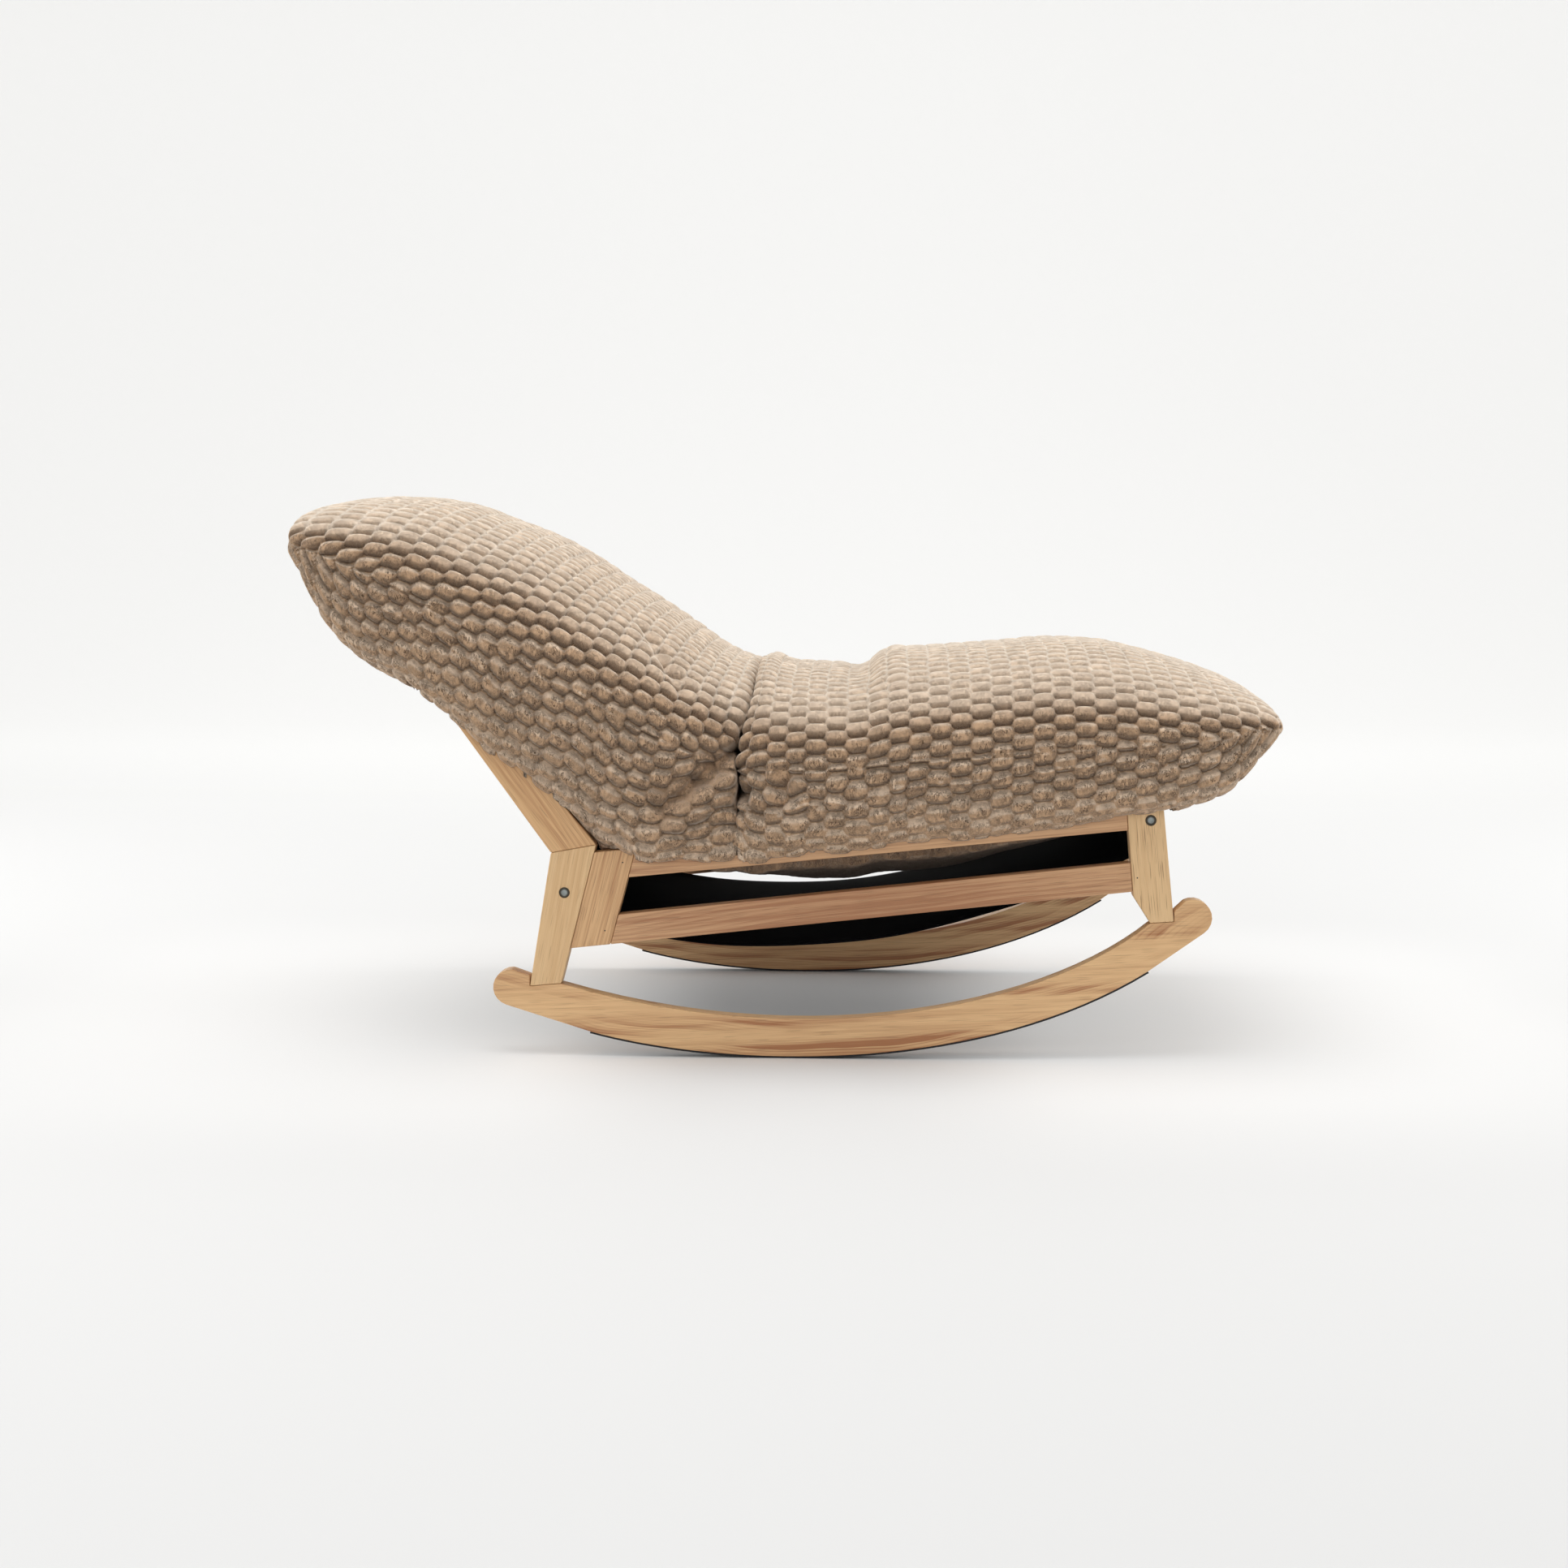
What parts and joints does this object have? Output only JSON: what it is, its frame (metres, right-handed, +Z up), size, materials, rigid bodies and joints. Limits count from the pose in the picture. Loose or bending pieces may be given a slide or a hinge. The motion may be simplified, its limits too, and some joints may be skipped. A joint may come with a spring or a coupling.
{
  "type": "rocking chair",
  "caption": "Rocking lounge chair: curved wooden runners, hardwood legs and side rails, a dark cloth sling, and a thick plush cushion with a seat part and a leaning back part.",
  "frame": {"origin": "on the floor under the middle of the chair's overall length and width, with the runners standing as in the picture", "axes": "+X towards the sitter's feet, +Y to the sitter's left, +Z up"},
  "size_m": [1.1812, 0.6494, 0.6716],
  "materials": {
    "runner_wood": "clear satin lacquer over light hardwood",
    "leg_wood": "clear satin lacquer over light hardwood",
    "rail_wood": "clear satin lacquer over light hardwood",
    "dowel_wood": "plain turned wood",
    "strip_rubber": "matt black",
    "sling_cloth": "plain black weave",
    "fastener_steel": "dark, lightly polished",
    "plush": "thick cut-pile plush in raised oval bumps"
  },
  "bodies": {
    "frame": {"back_sling": "sling_cloth", "front_rail": "rail_wood", "left_back_post": "leg_wood", "left_back_post_dowel": "dowel_wood", "left_front_foot_dowel": "dowel_wood", "left_front_leg": "leg_wood", "left_front_rail_bolt": "fastener_steel", "left_front_rail_nut": "fastener_steel", "left_lower_rail_front_dowel": "dowel_wood", "left_lower_rail_rear_dowel": "dowel_wood", "left_lower_side_rail": "rail_wood", "left_rear_foot_dowel": "dowel_wood", "left_rear_leg": "leg_wood", "left_rear_rail_bolt": "fastener_steel", "left_rear_rail_nut": "fastener_steel", "left_rear_stile": "leg_wood", "left_runner": "runner_wood", "left_runner_strip": "strip_rubber", "left_stile_high_dowel": "dowel_wood", "left_stile_low_dowel": "dowel_wood", "left_top_bar_bolt": "fastener_steel", "left_top_bar_nut": "fastener_steel", "left_upper_rail_front_dowel": "dowel_wood", "left_upper_rail_rear_dowel": "dowel_wood", "left_upper_side_rail": "rail_wood", "rear_rail": "rail_wood", "right_back_post": "leg_wood", "right_back_post_dowel": "dowel_wood", "right_front_foot_dowel": "dowel_wood", "right_front_leg": "leg_wood", "right_front_rail_bolt": "fastener_steel", "right_front_rail_nut": "fastener_steel", "right_lower_rail_front_dowel": "dowel_wood", "right_lower_rail_rear_dowel": "dowel_wood", "right_lower_side_rail": "rail_wood", "right_rear_foot_dowel": "dowel_wood", "right_rear_leg": "leg_wood", "right_rear_rail_bolt": "fastener_steel", "right_rear_rail_nut": "fastener_steel", "right_rear_stile": "leg_wood", "right_runner": "runner_wood", "right_runner_strip": "strip_rubber", "right_stile_high_dowel": "dowel_wood", "right_stile_low_dowel": "dowel_wood", "right_top_bar_bolt": "fastener_steel", "right_top_bar_nut": "fastener_steel", "right_upper_rail_front_dowel": "dowel_wood", "right_upper_rail_rear_dowel": "dowel_wood", "right_upper_side_rail": "rail_wood", "seat_sling": "sling_cloth", "top_bar": "rail_wood"},
    "cushion": {"seat_cushion": "plush", "back_cushion": "plush"}
  },
  "joints": [
    {"name": "cushion_lift", "type": "slide", "parent": "frame", "child": "cushion", "axis": [0, 0, 1], "range_m": [0, 0.45]}
  ]
}
